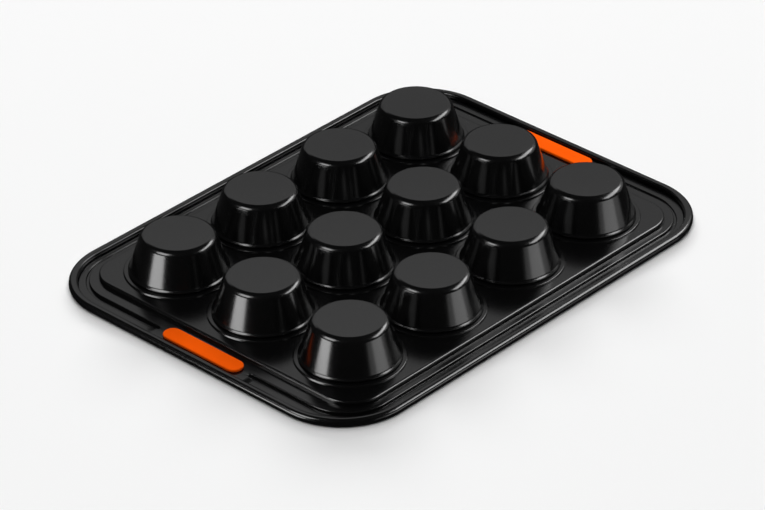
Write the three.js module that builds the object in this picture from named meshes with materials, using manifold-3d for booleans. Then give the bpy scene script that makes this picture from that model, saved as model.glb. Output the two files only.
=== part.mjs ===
// A twelve-cup muffin pan, lying upside down: the rolled rim rests on the table and the cups stand up.
// Millimetres, +Z up, X along the long side. The origin is on the table, under the middle of the pan.
// The tray is one pressed sheet, rolled round a wire at its edge. Each cup is drawn from its own blank,
// hung in a seat of the tray by its flange and locked there by a swaged ring. A silicone grip fills a slot
// in the middle of each short end. The sizes below come to 400 x 300 x 37.7.
import * as THREE from "three";
import { mergeVertices } from "three/addons/utils/BufferGeometryUtils.js";
import Module from "manifold-3d";

// Pattern of the cups
const COLUMNS = 4;
const ROWS = 3;
const CUP_WEB = 4; // flat of the tray between two seats

// Sheets and clearances
const TRAY_SHEET = 0.9;
const CUP_SHEET = 0.8;
const SEAT_GAP = 0.3; // between a cup and its seat
const GRIP_GAP = 0.3; // between a grip and its slot
const WIRE_GAP = 0.3; // between the wire and the roll

// Cups, from the closed bottom down to the flange
const CUP_RISE = 30.7; // closed bottom above the plateau
const CUP_FOOT_RADIUS = 35.3; // outside of the wall where it meets the swaged ring
const CUP_DRAFT = 19; // degrees
const CUP_CORNER = 7; // rounding between the wall and the closed bottom
const SWAGE_OUT = 0.9; // swaged ring beyond the neck
const SWAGE_RISE = 0.7; // half the height of the swaged ring
const NECK_STEP = 0.3; // neck wider than the foot of the wall
const SWAGE_BEND = 0.2; // middle of the sheet above the seat's gap, where the swaged ring starts

// Seats of the cups in the tray
const SEAT_LEDGE = 3; // width of the raised ring round the hole
const SEAT_DRAFT = 0.6; // lean of its outer side
const FLUSH_DEPTH = 0.2; // cup flange below the tray's smooth face

// Levels of the tray: its lower face above the table
const GROOVE_LIFT = 0.5;
const FLANGE_LIFT = 1.3;
const SHELF_LIFT = 2.5;
const PLATEAU_LIFT = 6.1;

// Widths from an outer seat to the rim, on the long sides and on the short ends
const RISER = 0.9;
const SIDE = { land: 7.1, shelf: 3, groove: 4, flange: 6.1 };
const END = { land: 5.5, shelf: 9.1, groove: 5.8, flange: 8.3 };
const PLATEAU_CORNER = 24; // corner radius of the plateau
const GROOVE_INNER_WALL = 2;
const GROOVE_OUTER_WALL = 1.2;

// Rolled rim
const WIRE_DIAMETER = 4;
const RIM_CORNER = 54; // outer corner radius
const RIM_DIP = 1.1; // flat left beside the roll, where the sheet starts to dip under the wire
const ROLL_FROM = -75; // degrees about the wire, from the inward level
const ROLL_TO = -375;

// Grips
const GRIP_LENGTH = 73;
const GRIP_RIM_GAP = 2.5; // upper pad to the roll
const GRIP_STEP_GAP = 6.9; // upper pad to the foot of the riser
const GRIP_PROUD = 2.25; // upper pad above the landing
const GRIP_UNDER = 1.9; // lower pad below the landing
const GRIP_LIP = 2.6; // upper pad beyond the neck
const GRIP_LOWER_INSET = 1.2; // lower pad smaller than the upper one
const GRIP_EDGE = 0.8; // rounding of the pads
const LANDING_MARGIN = 6; // landing beyond each end of a grip
const LANDING_RAMP = 5; // length over which the groove runs out
const LANDING_DROP = 0.6; // lean of the landing's outer side

// Facets
const CUP_SIDES = 20;
const CORNER_STEPS = 6;
const ROLL_STEPS = 10; // one facet lies flat on the table
const WIRE_SIDES = 8;
const GRIP_END_STEPS = 6;
const RAMP_SHARES = [0, 0.3, 0.7, 1];
const EDGE_SHARE = 0.3; // of a pad's rounding, where its two facets meet
const MERGE = 1e-4; // points closer than this are one

// Worked out from the sizes above
const ROLL_RADIUS = WIRE_DIAMETER / 2 + WIRE_GAP + TRAY_SHEET;
const ROLL_WIDTH = 2 * ROLL_RADIUS;
const PLATEAU = PLATEAU_LIFT + TRAY_SHEET;
const LANDING = SHELF_LIFT + TRAY_SHEET;
const LEDGE = PLATEAU + SEAT_GAP + CUP_SHEET + FLUSH_DEPTH;
const NECK_RADIUS = CUP_FOOT_RADIUS + NECK_STEP;
const HOLE_RADIUS = NECK_RADIUS + SEAT_GAP;
const SEAT_RADIUS = HOLE_RADIUS + SEAT_LEDGE;
const SEAT_FOOT_RADIUS = SEAT_RADIUS + SEAT_DRAFT;
const CUP_FLANGE_RADIUS = SEAT_RADIUS - TRAY_SHEET / 2 - SEAT_GAP;
const CUP_PITCH = 2 * SEAT_FOOT_RADIUS + CUP_WEB;
const SIDE_STEPS = RISER + SIDE.shelf + SIDE.groove + SIDE.flange + ROLL_WIDTH;
const END_STEPS = RISER + END.shelf + END.groove + END.flange + ROLL_WIDTH;
const HALF_LENGTH = ((COLUMNS - 1) * CUP_PITCH) / 2 + SEAT_FOOT_RADIUS + END.land + END_STEPS;
const HALF_WIDTH = ((ROWS - 1) * CUP_PITCH) / 2 + SEAT_FOOT_RADIUS + SIDE.land + SIDE_STEPS;
const GRIP_WIDTH = END.shelf + END.groove + END.flange - GRIP_RIM_GAP - GRIP_STEP_GAP;
const GRIP_INSET = ROLL_WIDTH + GRIP_RIM_GAP + GRIP_WIDTH / 2; // rim's outside to the grip's middle line
const LANDING_HALF = GRIP_LENGTH / 2 + LANDING_MARGIN;

const COATED_STEEL = { color: 0x161617, roughness: 0.28, metalness: 0.1 };
const BARE_WIRE = { color: 0x8d9094, roughness: 0.35, metalness: 1 };
const SILICONE = { color: 0xf75a06, roughness: 0.6, metalness: 0 };

const wasm = await Module();
wasm.setup();

const radians = THREE.MathUtils.degToRad;
const point2 = (x, y) => new THREE.Vector2(x, y);
const point3 = (x, y, z) => new THREE.Vector3(x, y, z);

function geometryOf(triangles) {
  const geometry = new THREE.BufferGeometry().setFromPoints(triangles);
  return mergeVertices(geometry, MERGE);
}

function solidOf(geometry) {
  return new wasm.Manifold(
    new wasm.Mesh({
      numProp: 3,
      vertProperties: geometry.getAttribute("position").array,
      triVerts: new Uint32Array(geometry.index.array),
    }),
  );
}

function geometryOfSolid(solid) {
  const { vertProperties, triVerts } = solid.getMesh();
  return new THREE.BufferGeometry()
    .setAttribute("position", new THREE.BufferAttribute(vertProperties, 3))
    .setIndex(new THREE.BufferAttribute(triVerts, 1));
}

// Closed section of a bent sheet: its middle line moved half a thickness to each side, with mitred bends.
function sheetSection(middle, thickness) {
  const normals = middle.slice(1).map((p, i) => {
    const along = p.clone().sub(middle[i]).normalize();
    return point2(along.y, -along.x);
  });
  const shifts = middle.map((_, i) => {
    const before = normals[Math.max(i - 1, 0)];
    const after = normals[Math.min(i, normals.length - 1)];
    const mitre = thickness / 2 / (1 + before.dot(after));
    return before.clone().add(after).multiplyScalar(mitre);
  });
  const right = middle.map((p, i) => p.clone().add(shifts[i]));
  const left = middle.map((p, i) => p.clone().sub(shifts[i]));
  return [...right, ...left.reverse()];
}

// Triangles between loops of equal length; the faces point to the right of the way from loop to loop.
function bands(loops) {
  const triangles = [];
  for (let i = 0; i + 1 < loops.length; i++) {
    const [a, b] = [loops[i], loops[i + 1]];
    a.forEach((_, k) => {
      const next = (k + 1) % a.length;
      triangles.push(a[k], b[k], b[next], a[k], b[next], a[next]);
    });
  }
  return triangles;
}

// Triangles of a level face between an outline and its holes, facing up or down.
function levelFace(outline, holes, up) {
  const all = [outline, ...holes].flat();
  const flat = (loop) => loop.map((p) => point2(p.x, p.y));
  const faces = THREE.ShapeUtils.triangulateShape(flat(outline), holes.map(flat));
  return faces.flatMap(([a, b, c]) => (up ? [all[a], all[b], all[c]] : [all[c], all[b], all[a]]));
}

// Quarter turns of a rounded rectangle, anticlockwise from the middle of its +X side.
function roundedCorners(halfX, halfY, radius, steps, z) {
  const signs = [
    [1, 1],
    [-1, 1],
    [-1, -1],
    [1, -1],
  ];
  return signs.map(([sx, sy], quarter) =>
    Array.from({ length: steps + 1 }, (_, i) => {
      const turn = (quarter + i / steps) * (Math.PI / 2);
      const x = sx * (halfX - radius) + radius * Math.cos(turn);
      const y = sy * (halfY - radius) + radius * Math.sin(turn);
      return point3(x, y, z);
    }),
  );
}

function circle(centre, radius, z) {
  return Array.from({ length: CUP_SIDES }, (_, i) => {
    const turn = (i / CUP_SIDES) * 2 * Math.PI;
    return point3(centre.x + radius * Math.cos(turn), centre.y + radius * Math.sin(turn), z);
  });
}

const cupCentres = [];
for (let row = 0; row < ROWS; row++) {
  for (let column = 0; column < COLUMNS; column++) {
    const x = (column - (COLUMNS - 1) / 2) * CUP_PITCH;
    const y = (row - (ROWS - 1) / 2) * CUP_PITCH;
    cupCentres.push({ name: `cup_r${row + 1}_c${column + 1}`, x, y });
  }
}

// Middle line of the tray's sheet from the plateau's edge out to the rim: x is the inset from the outside, y the height.
// On a landing the groove and the flange are lifted to the shelf's level.
function stepLine(widths, landing) {
  const half = TRAY_SHEET / 2;
  const shelf = SHELF_LIFT + half;
  const groove = landing ? shelf : GROOVE_LIFT + half;
  const flangeEdge = ROLL_WIDTH + widths.flange;
  const grooveEdge = flangeEdge + widths.groove;
  const plateauEdge = grooveEdge + widths.shelf + RISER;
  const dip = ROLL_WIDTH + RIM_DIP;
  const line = [
    point2(plateauEdge, PLATEAU_LIFT + half),
    point2(plateauEdge - RISER, shelf),
    point2(grooveEdge, shelf),
    point2(grooveEdge - GROOVE_INNER_WALL, groove),
    point2(flangeEdge + GROOVE_OUTER_WALL, groove),
    landing ? point2(dip + LANDING_DROP, shelf) : point2(flangeEdge, FLANGE_LIFT + half),
    point2(dip, FLANGE_LIFT + half),
  ];
  const step = radians(ROLL_TO - ROLL_FROM) / ROLL_STEPS;
  const reach = (ROLL_RADIUS - half) / Math.cos(step / 2);
  for (let i = 0; i <= ROLL_STEPS; i++) {
    const turn = radians(ROLL_FROM) + step * i;
    line.push(point2(ROLL_RADIUS + reach * Math.cos(turn), ROLL_RADIUS + reach * Math.sin(turn)));
  }
  return line;
}

// Corner radius at an inset: parallel to the outside in the roll, then easing to the plateau's own corner.
function cornerRadius(inset) {
  const inner = RIM_CORNER - ROLL_WIDTH;
  const share = (inset - ROLL_WIDTH) / (SIDE_STEPS - ROLL_WIDTH);
  return inset < ROLL_WIDTH ? RIM_CORNER - inset : THREE.MathUtils.lerp(inner, PLATEAU_CORNER, share);
}

// Loops of the tray's section round its outline, with extra places where a landing rises at the short ends.
function trayLoops() {
  const side = sheetSection(stepLine(SIDE, false), TRAY_SHEET);
  const end = sheetSection(stepLine(END, false), TRAY_SHEET);
  const landing = sheetSection(stepLine(END, true), TRAY_SHEET);
  const rising = RAMP_SHARES.map((share) => ({
    y: -LANDING_HALF - LANDING_RAMP * (1 - share),
    lift: THREE.MathUtils.smoothstep(share, 0, 1),
  }));
  const falling = rising.map(({ y, lift }) => ({ y: -y, lift })).reverse();
  return side.map((p, i) => {
    const halfX = HALF_LENGTH - end[i].x;
    const halfY = HALF_WIDTH - p.x;
    const corners = roundedCorners(halfX, halfY, cornerRadius(p.x), CORNER_STEPS, p.y);
    const shortEnd = (sign) =>
      [...rising, ...falling].map(({ y, lift }) => {
        const at = end[i].clone().lerp(landing[i], lift);
        return point3(sign * (HALF_LENGTH - at.x), sign * y, at.y);
      });
    return [shortEnd(1), corners[0], corners[1], shortEnd(-1), corners[2], corners[3]].flat();
  });
}

// Section of one seat from the plateau to the edge of its hole: x is the distance from the cup's axis.
function seatSection() {
  const low = PLATEAU - TRAY_SHEET / 2;
  const high = LEDGE - TRAY_SHEET / 2;
  const middle = [
    point2(SEAT_FOOT_RADIUS + CUP_WEB / 2, low),
    point2(SEAT_FOOT_RADIUS, low),
    point2(SEAT_RADIUS, high),
    point2(HOLE_RADIUS, high),
  ];
  return sheetSection(middle, TRAY_SHEET).slice(1, -1);
}

function stadium(halfX, halfY, z) {
  const quarters = roundedCorners(halfX, halfY, Math.min(halfX, halfY), GRIP_END_STEPS / 2, z).flat();
  return quarters.filter((p, i) => p.distanceTo(quarters.at(i - 1)) > MERGE);
}

// Closed solid through stacked loops, from the lowest to the highest.
function stack(loops) {
  const sides = bands([...loops].reverse());
  const top = levelFace(loops.at(-1), [], true);
  const bottom = levelFace(loops[0], [], false);
  return geometryOf([...sides, ...top, ...bottom]);
}

function gripSlot() {
  const halfX = GRIP_WIDTH / 2 - GRIP_LIP + GRIP_GAP;
  const halfY = GRIP_LENGTH / 2 - GRIP_LIP + GRIP_GAP;
  const through = TRAY_SHEET + GRIP_PROUD;
  return stack([
    stadium(halfX, halfY, SHELF_LIFT - through),
    stadium(halfX, halfY, LANDING + through),
  ]);
}

function trayGeometry() {
  const loops = trayLoops();
  const section = seatSection();
  const seats = cupCentres.map((centre) => section.map((p) => circle(centre, p.x, p.y)));
  const upper = levelFace(loops[0], seats.map((seat) => seat[0]), true);
  const lower = levelFace(loops.at(-1), seats.map((seat) => seat.at(-1)), false);
  const seatFaces = seats.flatMap((seat) => bands([...seat].reverse()));
  let tray = solidOf(geometryOf([...bands(loops), ...upper, ...lower, ...seatFaces]));
  const slot = solidOf(gripSlot());
  for (const sign of [-1, 1]) {
    tray = tray.subtract(slot.translate([sign * (HALF_LENGTH - GRIP_INSET), 0, 0]));
  }
  return geometryOfSolid(tray);
}

// Middle line of a cup's sheet from the centre of its closed bottom to the edge of its flange.
function cupLine() {
  const half = CUP_SHEET / 2;
  const lean = radians(CUP_DRAFT);
  const top = PLATEAU + CUP_RISE - half;
  const swageFoot = LEDGE + SEAT_GAP + SWAGE_BEND;
  const wallFoot = swageFoot + 2 * SWAGE_RISE;
  const wallRadius = (z) => CUP_FOOT_RADIUS - half - (z - wallFoot) * Math.tan(lean);
  const corner = CUP_CORNER - half;
  const flatRadius = wallRadius(top) - corner * Math.tan((Math.PI / 2 - lean) / 2);
  const onCorner = (turn) =>
    point2(flatRadius + corner * Math.sin(turn), top - corner + corner * Math.cos(turn));
  const neck = NECK_RADIUS - half;
  const flange = LEDGE - TRAY_SHEET - SEAT_GAP - half;
  return [
    point2(0, top),
    onCorner(0),
    onCorner((Math.PI / 2 - lean) / 2),
    onCorner(Math.PI / 2 - lean),
    point2(wallRadius(wallFoot), wallFoot),
    point2(neck + SWAGE_OUT, swageFoot + SWAGE_RISE),
    point2(neck, swageFoot),
    point2(neck, flange),
    point2(CUP_FLANGE_RADIUS, flange),
  ];
}

function cupGeometry() {
  const section = sheetSection(cupLine(), CUP_SHEET);
  return new THREE.LatheGeometry(section, CUP_SIDES).rotateX(Math.PI / 2).rotateZ(-Math.PI / 2);
}

// The wire lies in the middle of the roll, closed on itself round the whole rim.
function wireGeometry() {
  const loops = Array.from({ length: WIRE_SIDES + 1 }, (_, i) => {
    const turn = (i / WIRE_SIDES) * 2 * Math.PI;
    const inset = ROLL_RADIUS + (WIRE_DIAMETER / 2) * Math.cos(turn);
    const z = ROLL_RADIUS + (WIRE_DIAMETER / 2) * Math.sin(turn);
    const corner = cornerRadius(inset);
    return roundedCorners(HALF_LENGTH - inset, HALF_WIDTH - inset, corner, CORNER_STEPS, z).flat();
  });
  return geometryOf(bands(loops));
}

// One moulding: a pad above the landing, a neck through the slot and a smaller pad below it.
function gripGeometry() {
  const halfX = GRIP_WIDTH / 2;
  const halfY = GRIP_LENGTH / 2;
  const inset = (amount, z) => stadium(halfX - amount, halfY - amount, z);
  const lowerBottom = SHELF_LIFT - GRIP_UNDER;
  const lowerTop = SHELF_LIFT - GRIP_GAP;
  const upperBottom = LANDING + GRIP_GAP;
  const upperTop = LANDING + GRIP_PROUD;
  return stack([
    inset(GRIP_LOWER_INSET + GRIP_EDGE, lowerBottom),
    inset(GRIP_LOWER_INSET, lowerBottom + GRIP_EDGE),
    inset(GRIP_LOWER_INSET, lowerTop),
    inset(GRIP_LIP, lowerTop),
    inset(GRIP_LIP, upperBottom),
    inset(0, upperBottom),
    inset(0, upperTop - GRIP_EDGE),
    inset(EDGE_SHARE * GRIP_EDGE, upperTop - EDGE_SHARE * GRIP_EDGE),
    inset(GRIP_EDGE, upperTop),
  ]);
}

function piece(name, geometry, finish) {
  const mesh = new THREE.Mesh(geometry, new THREE.MeshStandardMaterial(finish));
  mesh.name = name;
  return mesh;
}

const pan = new THREE.Group();
pan.add(piece("tray", trayGeometry(), COATED_STEEL));
pan.add(piece("rim_wire", wireGeometry(), BARE_WIRE));

const drawnCup = cupGeometry();
for (const { name, x, y } of cupCentres) {
  const cup = piece(name, drawnCup, COATED_STEEL);
  cup.position.set(x, y, 0);
  pan.add(cup);
}

const mouldedGrip = gripGeometry();
for (const [name, sign] of [["left_grip", -1], ["right_grip", 1]]) {
  const grip = piece(name, mouldedGrip, SILICONE);
  grip.position.set(sign * (HALF_LENGTH - GRIP_INSET), 0, 0);
  pan.add(grip);
}

export default pan;
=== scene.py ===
"""A twelve-cup muffin pan of coated steel with silicone grips, lying upside down on a pale floor."""

import math

import bmesh
import bpy
from mathutils import Matrix, Vector


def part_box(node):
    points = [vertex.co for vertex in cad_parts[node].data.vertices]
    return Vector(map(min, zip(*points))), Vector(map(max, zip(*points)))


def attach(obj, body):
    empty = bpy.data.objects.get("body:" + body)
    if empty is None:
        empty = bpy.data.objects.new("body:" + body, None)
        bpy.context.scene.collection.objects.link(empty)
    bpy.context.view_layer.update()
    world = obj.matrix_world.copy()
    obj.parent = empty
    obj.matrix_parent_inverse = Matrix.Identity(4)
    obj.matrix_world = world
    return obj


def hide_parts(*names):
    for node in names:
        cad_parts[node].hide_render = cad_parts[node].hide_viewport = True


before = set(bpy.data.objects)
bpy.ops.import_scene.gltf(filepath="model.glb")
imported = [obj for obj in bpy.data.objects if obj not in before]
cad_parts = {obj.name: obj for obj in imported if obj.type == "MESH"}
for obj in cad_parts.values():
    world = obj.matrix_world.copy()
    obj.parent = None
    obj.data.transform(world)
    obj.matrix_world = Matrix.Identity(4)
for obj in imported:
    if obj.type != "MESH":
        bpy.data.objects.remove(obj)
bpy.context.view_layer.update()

MM = 0.001

# Sheets and levels of the pan, at the middle of the sheet
TRAY_SHEET = 0.9 * MM
CUP_SHEET = 0.8 * MM
PLATEAU = 6.55 * MM
SHELF = 2.95 * MM
FLANGE = 1.75 * MM
GROOVE = 0.6 * MM
LEDGE = 7.85 * MM

# Widths of the steps from the roll to the plateau, on the long sides and on the short ends
RISER = 0.7 * MM
SIDE = {"shelf": 5.3 * MM, "groove": 4.1 * MM, "flange": 3.7 * MM}
END = {"shelf": 9.5 * MM, "groove": 4.4 * MM, "flange": 7.7 * MM}
GROOVE_INNER_WALL = 0.6 * MM
GROOVE_OUTER_WALL = 0.7 * MM
PLATEAU_MARGIN = 2.5 * MM

# Rolled rim
RIM_CORNER = 54.0 * MM
PLATEAU_CORNER = 24.0 * MM
ROLL_RADIUS = 3.2 * MM
ROLL_WIDTH = 2 * ROLL_RADIUS
ROLL_REACH = 2.745 * MM
ROLL_FROM = math.radians(-75)
ROLL_TO = math.radians(-360)
ROLL_SQUARENESS = 0.5
ROLL_STEPS = 30
RIM_DIP = ROLL_WIDTH + 1.1 * MM

# Landings that carry the grips
LANDING_HALF = 42.5 * MM
GROOVE_RAMP = 0.9 * MM
FLANGE_RAMP = 7.0 * MM
LANDING_DROP = 0.6 * MM
GROOVE_END_ROUNDING = 1.5 * MM
RAMP_STEPS = 10

# Rounding of the sheet's bends: distance from the bend to where the rounding starts
BEND_PLATEAU = 1.2 * MM
BEND_SHELF = 0.5 * MM
BEND_GROOVE_TOP = 0.4 * MM
BEND_GROOVE_FOOT = 0.45 * MM
BEND_FLANGE = 0.35 * MM
BEND_LANDING = 0.5 * MM
BEND_DIP = 0.5 * MM
BEND_SEGMENTS = 6
CUT_EDGE = 0.12 * MM
CUT_EDGE_SEGMENTS = 2
CUT_EDGE_ANGLE = math.radians(50)

# Seats of the cups
SEAT_FOOT = 39.5 * MM
SEAT_RADIUS = 38.9 * MM
SEAT_MARGIN = 0.7 * MM
HOLE_RADIUS = 35.9 * MM
SEAT_BEND = 0.22 * MM

# Cups
CUP_FOOT_RADIUS = 34.6 * MM
CUP_DRAFT = math.radians(17.5)
CUP_CORNER = 4.8 * MM
NECK_RADIUS = 35.2 * MM
FLANGE_RADIUS = 38.15 * MM
SWAGE_FOOT = 8.8 * MM
SWAGE_OUT = 0.9 * MM
SWAGE_RISE = 0.8 * MM
SWAGE_HEIGHT = 2.4 * MM
CUP_FLANGE = 6.7 * MM
BEND_CUP_FOOT = 0.6 * MM
BEND_SWAGE = 0.55 * MM
BEND_NECK = 0.4 * MM
CUP_SIDES = 96

# Grips
GRIP_PAD_BASE = 3.7 * MM
GRIP_LOWER_TOP = 2.2 * MM
GRIP_LOWER_INSET = 1.2 * MM
GRIP_LIP = 2.6 * MM
GRIP_EDGE = 0.8 * MM
GRIP_BASE_EDGE = 0.3 * MM
GRIP_ROUND_END = 0.9999
SLOT_GAP = 0.3 * MM
SLOT_CORNER = 0.6
SLOT_MARGIN = 9.0 * MM

CORNER_SEGMENTS = 20
MERGE_DISTANCE = 1e-6
ROUND_OFF = 1e-9

# Floor, camera and background
FLOOR_RADIUS = 8.0
FLOOR_SIDES = 64
FLOOR_COLOUR = (0.88, 0.88, 0.88, 1)
BACKGROUND_COLOUR = (0.025, 0.025, 0.025, 1)
CAMERA_AZIMUTH = math.radians(-47.018)
CAMERA_ELEVATION = math.radians(31.91)
CAMERA_ROLL = math.radians(-0.491)
CAMERA_DISTANCE = 2.9147
CAMERA_TARGET = Vector((-0.04954, -0.04407, 0.0377))
CAMERA_LENS = 196.454

# Lamps: azimuth to the right of the camera's side and elevation in degrees, distance, width, height, radiance
SHADOW_LAMPS = {
    "low_key": (180, 20, 8.0, 6.5, 1.75, 21),
    "key": (180, 50, 8.0, 8.0, 6.0, 1.7),
    "fill": (0, 65, 4.0, 4.0, 4.0, 1.95),
}
REFLECTION_CARDS = {
    "left_strip": (-55, 4, 0.75, 0.34, 0.22, 8.5),
    "left_high": (-55, 39, 0.8, 0.34, 0.28, 8),
    "right_panel": (102, 39, 0.95, 1.0, 0.3, 8),
    "right_low": (66, -1, 0.95, 1.05, 0.25, 0.9),
    "right_low_core": (64, -1, 0.93, 0.5, 0.25, 1.7),
    "right_back": (122, 25, 1.05, 0.6, 0.5, 0.8),
    "back_high": (180, 44, 1.3, 2.0, 0.27, 0.68),
    "back_middle": (180, 35.3, 1.3, 2.0, 0.125, 0.51),
    "back_low": (180, 23.5, 1.3, 2.0, 0.42, 0.38),
}


class Finish:
    """A shader socket that takes part in arithmetic, where each operation adds one Math node."""

    def __init__(self, tree, socket):
        self.tree = tree
        self.socket = socket

    def node(self, kind, settings=None, inputs=None, output=0):
        """Adds any node: its settings first, then the values or links of its sockets."""
        made = self.tree.nodes.new(kind)
        for name, value in (settings or {}).items():
            setattr(made, name, value)
        for key, value in (inputs or {}).items():
            if isinstance(value, Finish):
                self.tree.links.new(value.socket, made.inputs[key])
            else:
                made.inputs[key].default_value = value
        return Finish(self.tree, made.outputs[output])

    def math(self, operation, first, second):
        return self.node("ShaderNodeMath", {"operation": operation}, {0: first, 1: second})

    def __add__(self, other):
        return self.math("ADD", self, other)

    __radd__ = __add__

    def __mul__(self, other):
        return self.math("MULTIPLY", self, other)

    __rmul__ = __mul__

    def noise(self, size, detail=2.0, roughness=0.5):
        """Cloudy pattern from 0 to 1, whose lumps are about the given size across."""
        inputs = {"Vector": self, "Scale": 1 / size, "Detail": detail, "Roughness": roughness}
        return self.node("ShaderNodeTexNoise", {}, inputs)

    def blend(self, dark, light):
        """Colour from dark to light as this value goes from 0 to 1; sockets 6 and 7 take the colours."""
        inputs = {0: self, 6: (*dark, 1), 7: (*light, 1)}
        return self.node("ShaderNodeMix", {"data_type": "RGBA"}, inputs, 2)

    def bump(self, height, strength, distance):
        """Normal that follows a height pattern."""
        inputs = {"Height": height, "Strength": strength, "Distance": distance}
        return self.node("ShaderNodeBump", {}, inputs)


def new_finish(name):
    """A material with its shader node, and the object's own coordinates to draw its pattern on."""
    material = bpy.data.materials.new(name)
    material.use_nodes = True
    tree = material.node_tree
    shader = tree.nodes["Principled BSDF"]
    place = Finish(tree, tree.nodes.new("ShaderNodeTexCoord").outputs["Object"])
    return material, shader, place


def set_shader(shader, **inputs):
    for key, value in inputs.items():
        socket = shader.inputs[key.replace("_", " ")]
        if isinstance(value, Finish):
            value.tree.links.new(value.socket, socket)
        else:
            socket.default_value = value


def non_stick_coating():
    """Black baked coating: smooth and glossy, with a fine pebbled skin and faint cloudiness."""
    material, shader, place = new_finish("non_stick_coating")
    cloud = place.noise(28 * MM, detail=3)
    grain = place.noise(0.7 * MM, detail=3, roughness=0.6)
    set_shader(
        shader,
        Base_Color=grain.blend((0.0012, 0.0012, 0.0013), (0.0036, 0.0036, 0.0038)),
        Roughness=0.15 + cloud * 0.04 + grain * 0.04,
        Normal=place.bump(grain, 0.4, 0.02 * MM),
        IOR=1.5,
    )
    return material


def orange_silicone():
    """Satin silicone with a soft cloudy tone and the fine grain of its mould."""
    material, shader, place = new_finish("orange_silicone")
    cloud = place.noise(9 * MM, detail=2)
    grain = place.noise(0.35 * MM, detail=2)
    set_shader(
        shader,
        Base_Color=cloud.blend((0.92, 0.1, 0.001), (0.98, 0.11, 0.0012)),
        Roughness=0.48 + grain * 0.16,
        Normal=place.bump(grain, 0.3, 0.03 * MM),
        IOR=1.41,
        Specular_IOR_Level=0.03,
    )
    return material


def drawn_wire():
    """Plain steel wire with the fine streaks of drawing."""
    material, shader, place = new_finish("drawn_wire")
    streak = place.noise(0.6 * MM, detail=4)
    set_shader(
        shader,
        Base_Color=streak.blend((0.36, 0.365, 0.375), (0.48, 0.485, 0.495)),
        Roughness=0.28 + streak * 0.2,
        Metallic=1.0,
    )
    return material


COATING = non_stick_coating()
SILICONE = orange_silicone()
WIRE = drawn_wire()


def bent_wire(bm, points):
    """Adds a wire of edges through points of radius or inset, height and, at a bend, its rounding."""
    verts = [bm.verts.new((across, 0, z)) for across, z, *_ in points]
    for pair in zip(verts, verts[1:]):
        bm.edges.new(pair)
    for vert, (_, _, *rounding) in zip(verts, points):
        if rounding:
            bmesh.ops.bevel(
                bm, geom=[vert], offset=rounding[0], segments=BEND_SEGMENTS,
                profile=0.5, affect="VERTICES", material=-1,
            )


def bent_line(points):
    """The points of such a wire, in order."""
    bm = bmesh.new()
    bent_wire(bm, points)
    start = Vector((points[0][0], 0, points[0][1]))
    vert = min((v for v in bm.verts if len(v.link_edges) == 1), key=lambda v: (v.co - start).length)
    line, edge = [], None
    while vert:
        line.append((vert.co.x, vert.co.z))
        edge = next((e for e in vert.link_edges if e is not edge), None)
        vert = edge and edge.other_vert(vert)
    bm.free()
    return line


def rounded_outline(bm, half_x, half_y, radius, z, cuts=()):
    """Closed loop of edges: a rectangle with rounded corners, cut on its short ends at the given y."""
    signs = ((1, 1), (-1, 1), (-1, -1), (1, -1))
    corners = [bm.verts.new((sx * half_x, sy * half_y, z)) for sx, sy in signs]
    for start, end in zip(corners, corners[1:] + corners[:1]):
        bm.edges.new((start, end))
    bmesh.ops.bevel(
        bm, geom=corners, offset=radius, segments=CORNER_SEGMENTS,
        profile=0.5, affect="VERTICES", material=-1,
    )
    for y in cuts:
        bmesh.ops.bisect_plane(bm, geom=bm.verts[:] + bm.edges[:], plane_co=(0, y, 0), plane_no=(0, 1, 0))
    return bm.edges[:]


def next_ring(bm, edges):
    """Extrudes a loop of edges in place, and gives the points and edges of the new loop."""
    made = bmesh.ops.extrude_edge_only(bm, edges=edges)["geom"]
    verts = {v for v in made if isinstance(v, bmesh.types.BMVert)}
    return verts, [e for e in made if isinstance(e, bmesh.types.BMEdge) and set(e.verts) <= verts]


def refit(vert, old, new):
    """Moves a point of one rounded rectangle to its place on another."""
    for axis in (0, 1):
        beyond = abs(vert.co[axis]) - old[axis] + old[2]
        if beyond > -ROUND_OFF:
            reach = new[axis] - new[2] + beyond * new[2] / old[2]
            vert.co[axis] = math.copysign(reach, vert.co[axis])
    vert.co.z = new[3]


def grow_rings(bm, edges, stations):
    """Extrudes a loop through rounded rectangles given as half length, half width, corner and height."""
    rings = [edges]
    for old, new in zip(stations, stations[1:]):
        verts, edges = next_ring(bm, edges)
        for vert in verts:
            refit(vert, old, new)
        rings.append(edges)
    return rings


def finish_piece(name, bm, material, sheet=None):
    """Turns a bmesh into an object of the pan; a sheet gets its thickness about its middle."""
    mesh = bpy.data.meshes.new(name)
    bmesh.ops.recalc_face_normals(bm, faces=bm.faces)
    for face in bm.faces:
        face.smooth = True
    bm.to_mesh(mesh)
    bm.free()
    mesh.materials.append(material)
    piece = bpy.data.objects.new(name, mesh)
    bpy.context.scene.collection.objects.link(piece)
    if sheet:
        wall = piece.modifiers.new("wall", "SOLIDIFY")
        wall.thickness = sheet
        wall.offset = 0
        wall.use_even_offset = True
        edge = piece.modifiers.new("cut_edges", "BEVEL")
        edge.width = CUT_EDGE
        edge.segments = CUT_EDGE_SEGMENTS
        edge.limit_method = "ANGLE"
        edge.angle_limit = CUT_EDGE_ANGLE
    flat = piece.modifiers.new("flats", "WEIGHTED_NORMAL")
    flat.keep_sharp = True
    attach(piece, "root")
    return piece


def roll_line():
    """Rolled rim, round the wire and down on the inside, where it is squarer."""
    line = []
    for i in range(ROLL_STEPS + 1):
        turn = ROLL_FROM + (ROLL_TO - ROLL_FROM) * i / ROLL_STEPS
        inward, up = math.cos(turn), math.sin(turn)
        if inward > 0 and up > 0:
            inward, up = inward ** ROLL_SQUARENESS, up ** ROLL_SQUARENESS
        line.append((ROLL_RADIUS + ROLL_REACH * inward, ROLL_RADIUS + ROLL_REACH * up))
    return line


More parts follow.
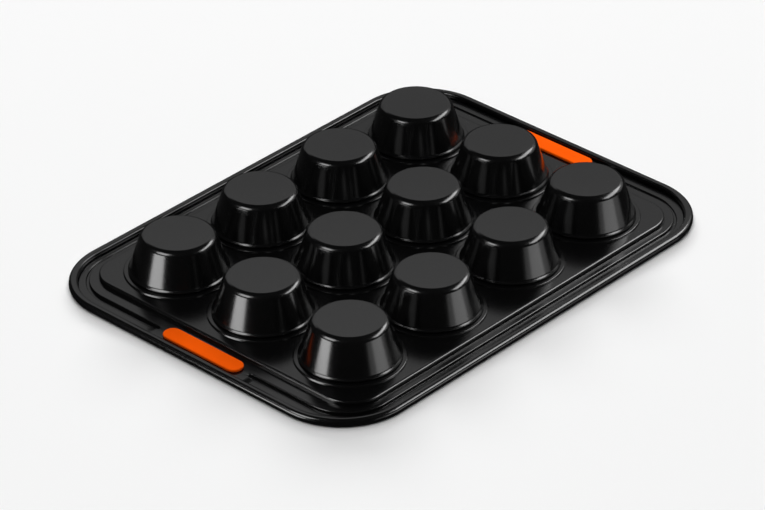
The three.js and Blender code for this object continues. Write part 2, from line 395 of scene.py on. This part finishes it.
def step_line(widths):
    """Middle line of the tray's sheet from the plateau to the end of the roll, as insets and heights."""
    flange_edge = ROLL_WIDTH + widths["flange"]
    groove_edge = flange_edge + widths["groove"]
    plateau_edge = groove_edge + widths["shelf"] + RISER
    inner_foot = groove_edge - GROOVE_INNER_WALL
    outer_foot = flange_edge + GROOVE_OUTER_WALL
    # On the flange, the points that become the rounded edge of a landing
    edge = [RIM_DIP + LANDING_DROP + BEND_LANDING * i / BEND_SEGMENTS for i in range(BEND_SEGMENTS, -1, -1)]
    return bent_line([
        (plateau_edge + PLATEAU_MARGIN, PLATEAU),
        (plateau_edge, PLATEAU, BEND_PLATEAU),
        (plateau_edge - RISER, SHELF, BEND_SHELF),
        (groove_edge, SHELF, BEND_GROOVE_TOP),
        (inner_foot, GROOVE, BEND_GROOVE_FOOT),
        ((inner_foot + outer_foot) / 2, GROOVE),
        (outer_foot, GROOVE, BEND_FLANGE),
        (flange_edge, FLANGE, BEND_FLANGE),
        *[(inset, FLANGE) for inset in edge],
        (RIM_DIP, FLANGE, BEND_DIP),
        *roll_line(),
    ])


def landing_line(widths, plain):
    """The same line across a landing, with as many points: the shelf runs level nearly to the roll."""
    plateau_edge = ROLL_WIDTH + sum(widths.values()) + RISER
    line = bent_line([
        (plateau_edge + PLATEAU_MARGIN, PLATEAU),
        (plateau_edge, PLATEAU, BEND_PLATEAU),
        (plateau_edge - RISER, SHELF, BEND_SHELF),
        (RIM_DIP + LANDING_DROP, SHELF, BEND_LANDING),
        (RIM_DIP, FLANGE, BEND_DIP),
        *roll_line(),
    ])
    # Both lines start alike: one point on the plateau and the riser's two rounded bends
    level = 1 + 2 * (BEND_SEGMENTS + 1)
    flat = [(inset, SHELF) for inset, _ in plain[level:level + len(plain) - len(line)]]
    return line[:level] + flat + line[level:]


def corner_radius(inset, plateau_inset):
    """Parallel to the outside in the roll, then easing to the plateau's own corner."""
    if inset < ROLL_WIDTH:
        return RIM_CORNER - inset
    share = (inset - ROLL_WIDTH) / (plateau_inset - ROLL_WIDTH)
    return RIM_CORNER - ROLL_WIDTH + (PLATEAU_CORNER - RIM_CORNER + ROLL_WIDTH) * share


def raise_landings(rings, half_length, plain, landing):
    """Lifts the groove and the flange to the shelf's level beside the grips, with rounded groove ends."""
    flange_edge = ROLL_WIDTH + END["flange"]
    middle = flange_edge + END["groove"] / 2
    for ring, (inset, z), (inset_there, z_there) in zip(rings, plain, landing):
        off_middle = min(abs(inset - middle) / (END["groove"] / 2), 1)
        ramp = GROOVE_RAMP if inset > flange_edge else FLANGE_RAMP
        foot = LANDING_HALF + ramp + GROOVE_END_ROUNDING * off_middle ** 2
        for vert in {v for e in ring for v in e.verts}:
            share = min(max((foot - abs(vert.co.y)) / ramp, 0), 1)
            lift = share * share * (3 - 2 * share)
            if lift:
                vert.co.x = math.copysign(half_length - inset - (inset_there - inset) * lift, vert.co.x)
                vert.co.z = z + (z_there - z) * lift


def cut_slot(bm, middle_x, half_x, half_y):
    """Cuts the slot of a grip's neck through the landing, with its corners taken off."""
    corner = half_x * SLOT_CORNER
    walls = [((side, 0), half_x) for side in (-1, 1)]
    walls += [((0, side), half_y) for side in (-1, 1)]
    walls += [((sx, sy), half_x + half_y - corner) for sx in (-1, 1) for sy in (-1, 1)]
    reach_x, reach_y = half_x + SLOT_MARGIN, LANDING_HALF + MERGE_DISTANCE
    near = [
        f for f in bm.faces
        if all(abs(v.co.x - middle_x) < reach_x and abs(v.co.y) <= reach_y for v in f.verts)
    ]
    for (nx, ny), reach in walls:
        length = math.hypot(nx, ny)
        spot = (middle_x + nx * reach / length ** 2, ny * reach / length ** 2, 0)
        near = [f for f in near if f.is_valid]
        geom = list({part for f in near for part in (f, *f.edges, *f.verts)})
        made = bmesh.ops.bisect_plane(bm, geom=geom, plane_co=spot, plane_no=(nx, ny, 0))["geom"]
        near = [part for part in made if isinstance(part, bmesh.types.BMFace)]
    inside = []
    for face in near:
        centre = face.calc_center_median()
        if all((centre.x - middle_x) * nx + centre.y * ny < reach for (nx, ny), reach in walls):
            inside.append(face)
    bmesh.ops.delete(bm, geom=inside, context="FACES")


def raise_seat(bm, centre, edges, line):
    """Raises the ledge of one seat out of the plateau, from the flat in to the hole."""
    for (old, _), (new, z) in zip(line, line[1:]):
        verts, edges = next_ring(bm, edges)
        bmesh.ops.scale(
            bm, verts=list(verts), vec=(new / old, new / old, 1), space=Matrix.Translation(-centre)
        )
        for vert in verts:
            vert.co.z = z


def pressed_tray(cup_centres):
    """The sheet from the plateau's edge to the roll, its landings and slots, then the plateau's seats."""
    _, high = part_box("tray")
    side = step_line(SIDE)
    end = step_line(END)
    plateau_inset = ROLL_WIDTH + sum(SIDE.values()) + RISER
    stations = []
    for (end_inset, z), (side_inset, _) in zip(end, side):
        corner = corner_radius(side_inset, plateau_inset)
        stations.append((high.x - end_inset, high.y - side_inset, corner, z))
    bm = bmesh.new()
    groove_end = GROOVE_RAMP + GROOVE_END_ROUNDING
    flange_end = FLANGE_RAMP + GROOVE_END_ROUNDING
    ramps = [groove_end * i / RAMP_STEPS for i in range(RAMP_STEPS)]
    ramps += [groove_end + (flange_end - groove_end) * i / RAMP_STEPS for i in range(RAMP_STEPS + 1)]
    cuts = [sign * (LANDING_HALF + ramp) for ramp in ramps for sign in (-1, 1)]
    plateau = rounded_outline(bm, *stations[0], cuts=cuts)
    rings = grow_rings(bm, plateau, stations)
    raise_landings(rings, high.x, end, landing_line(END, end))
    for node in ("left_grip", "right_grip"):
        grip_low, grip_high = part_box(node)
        slot = (grip_high - grip_low) / 2 - Vector((1, 1, 0)) * (GRIP_LIP - SLOT_GAP)
        cut_slot(bm, (grip_low.x + grip_high.x) / 2, slot.x, slot.y)
    seat = bent_line([
        (SEAT_FOOT + SEAT_MARGIN, PLATEAU),
        (SEAT_FOOT, PLATEAU, SEAT_BEND),
        (SEAT_RADIUS, LEDGE, SEAT_BEND),
        (HOLE_RADIUS, LEDGE),
    ])
    mouths = []
    for centre in cup_centres:
        place = Matrix.Translation(centre + Vector((0, 0, PLATEAU)))
        made = bmesh.ops.create_circle(bm, segments=CUP_SIDES, radius=seat[0][0], matrix=place)
        mouths.append(list({e for v in made["verts"] for e in v.link_edges}))
    bmesh.ops.triangle_fill(bm, use_beauty=True, edges=plateau + [e for mouth in mouths for e in mouth])
    for centre, mouth in zip(cup_centres, mouths):
        raise_seat(bm, centre, mouth, seat)
    return finish_piece("pressed_tray", bm, COATING, TRAY_SHEET)


def drawn_cup(name, centre, top):
    """One cup, spun from the middle line of its sheet."""
    top -= CUP_SHEET / 2
    wall_foot = SWAGE_FOOT + SWAGE_HEIGHT
    top_radius = CUP_FOOT_RADIUS - (top - wall_foot) * math.tan(CUP_DRAFT)
    corner = CUP_CORNER * math.tan((math.pi / 2 - CUP_DRAFT) / 2)
    bm = bmesh.new()
    bent_wire(bm, [
        (0, top),
        (top_radius, top, corner),
        (CUP_FOOT_RADIUS, wall_foot, BEND_CUP_FOOT),
        (NECK_RADIUS + SWAGE_OUT, SWAGE_FOOT + SWAGE_RISE, BEND_SWAGE),
        (NECK_RADIUS, SWAGE_FOOT, BEND_NECK),
        (NECK_RADIUS, CUP_FLANGE, BEND_NECK),
        (FLANGE_RADIUS, CUP_FLANGE),
    ])
    bmesh.ops.spin(
        bm, geom=bm.verts[:] + bm.edges[:], cent=(0, 0, 0), axis=(0, 0, 1),
        angle=2 * math.pi, steps=CUP_SIDES, use_merge=True,
    )
    bmesh.ops.remove_doubles(bm, verts=bm.verts, dist=MERGE_DISTANCE)
    bmesh.ops.translate(bm, verts=bm.verts, vec=centre)
    return finish_piece(name, bm, COATING, CUP_SHEET)


def silicone_grip(name, node):
    """One moulding: a pad above the landing, a neck through the slot and a smaller pad below."""
    low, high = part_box(node)
    half_x, half_y = (high.x - low.x) / 2, (high.y - low.y) / 2
    levels = [
        (GRIP_LOWER_INSET, low.z, GRIP_BASE_EDGE),
        (GRIP_LOWER_INSET, GRIP_LOWER_TOP, GRIP_BASE_EDGE),
        (GRIP_LIP, GRIP_LOWER_TOP, None),
        (GRIP_LIP, GRIP_PAD_BASE, None),
        (0, GRIP_PAD_BASE, GRIP_BASE_EDGE),
        (0, high.z, GRIP_EDGE),
    ]
    stations = [
        (half_x - inset, half_y - inset, (half_x - inset) * GRIP_ROUND_END, z) for inset, z, _ in levels
    ]
    bm = bmesh.new()
    rings = grow_rings(bm, rounded_outline(bm, *stations[0]), stations)
    for cap in (rings[0], rings[-1]):
        bmesh.ops.edgeloop_fill(bm, edges=cap)
    bmesh.ops.recalc_face_normals(bm, faces=bm.faces)
    for ring, (_, _, rounding) in zip(rings, levels):
        if rounding:
            bmesh.ops.bevel(
                bm, geom=ring, offset=rounding, segments=BEND_SEGMENTS,
                profile=0.5, affect="EDGES", material=-1,
            )
    bmesh.ops.translate(bm, verts=bm.verts, vec=((low.x + high.x) / 2, 0, 0))
    return finish_piece(name, bm, SILICONE)


cups = sorted(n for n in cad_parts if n.startswith("cup_"))
centres = {}
for node in cups:
    low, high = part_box(node)
    centres[node] = Vector(((low.x + high.x) / 2, (low.y + high.y) / 2, 0))

tray = pressed_tray(list(centres.values()))
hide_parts("tray")
for node in cups:
    cup = drawn_cup("drawn_" + node, centres[node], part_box(node)[1].z)
    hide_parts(node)
for node in ("left_grip", "right_grip"):
    grip = silicone_grip("silicone_" + node, node)
    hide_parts(node)
wire_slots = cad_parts["rim_wire"].data.materials
wire_slots.clear()
wire_slots.append(WIRE)


def pale_floor():
    """Matt floor that takes the shadow; it isn't mirrored in the coating."""
    bm = bmesh.new()
    bmesh.ops.create_circle(bm, cap_ends=True, segments=FLOOR_SIDES, radius=FLOOR_RADIUS)
    mesh = bpy.data.meshes.new("floor")
    bm.to_mesh(mesh)
    bm.free()
    material, shader, _ = new_finish("pale_floor")
    set_shader(shader, Base_Color=FLOOR_COLOUR, Roughness=1.0, Specular_IOR_Level=0.0)
    mesh.materials.append(material)
    floor = bpy.data.objects.new("floor", mesh)
    bpy.context.scene.collection.objects.link(floor)
    floor.visible_glossy = False


def towards(azimuth, elevation, distance):
    """Point seen from the pan at an azimuth to the right of the camera's side and an elevation."""
    turn = CAMERA_AZIMUTH + math.radians(azimuth)
    rise = math.radians(elevation)
    level = distance * math.cos(rise)
    return Vector((level * math.sin(turn), -level * math.cos(turn), distance * math.sin(rise)))


def soft_lamp(name, azimuth, elevation, distance, width, height, radiance):
    """Rectangular lamp that faces the pan; its power gives the stated radiance."""
    place = towards(azimuth, elevation, distance)
    light = bpy.data.lights.new(name, "AREA")
    light.shape = "RECTANGLE"
    light.size = width
    light.size_y = height
    light.energy = radiance * math.pi * width * height
    lamp = bpy.data.objects.new(name, light)
    lamp.location = place
    lamp.rotation_euler = (-place).to_track_quat("-Z", "Y").to_euler()
    lamp.visible_camera = False
    bpy.context.scene.collection.objects.link(lamp)
    return lamp


def studio():
    """Floor, dim background, lamps that only matt surfaces see and cards that only glossy ones see."""
    pale_floor()
    world = bpy.data.worlds.new("dim_studio")
    world.use_nodes = True
    world.node_tree.nodes["Background"].inputs["Color"].default_value = BACKGROUND_COLOUR
    bpy.context.scene.world = world
    for name, values in SHADOW_LAMPS.items():
        soft_lamp(name, *values).visible_glossy = False
    for name, values in REFLECTION_CARDS.items():
        soft_lamp(name, *values).visible_diffuse = False


def photo_camera():
    """The view of the photograph."""
    camera = bpy.data.objects.new("camera", bpy.data.cameras.new("camera"))
    camera.data.lens = CAMERA_LENS
    turn = (
        Matrix.Rotation(CAMERA_AZIMUTH, 4, "Z")
        @ Matrix.Rotation(math.pi / 2 - CAMERA_ELEVATION, 4, "X")
        @ Matrix.Rotation(CAMERA_ROLL, 4, "Z")
    )
    back = turn.to_3x3() @ Vector((0, 0, CAMERA_DISTANCE))
    camera.matrix_world = Matrix.Translation(CAMERA_TARGET + back) @ turn
    bpy.context.scene.collection.objects.link(camera)
    bpy.context.scene.camera = camera


studio()
photo_camera()
bpy.context.scene.view_settings.view_transform = "Standard"
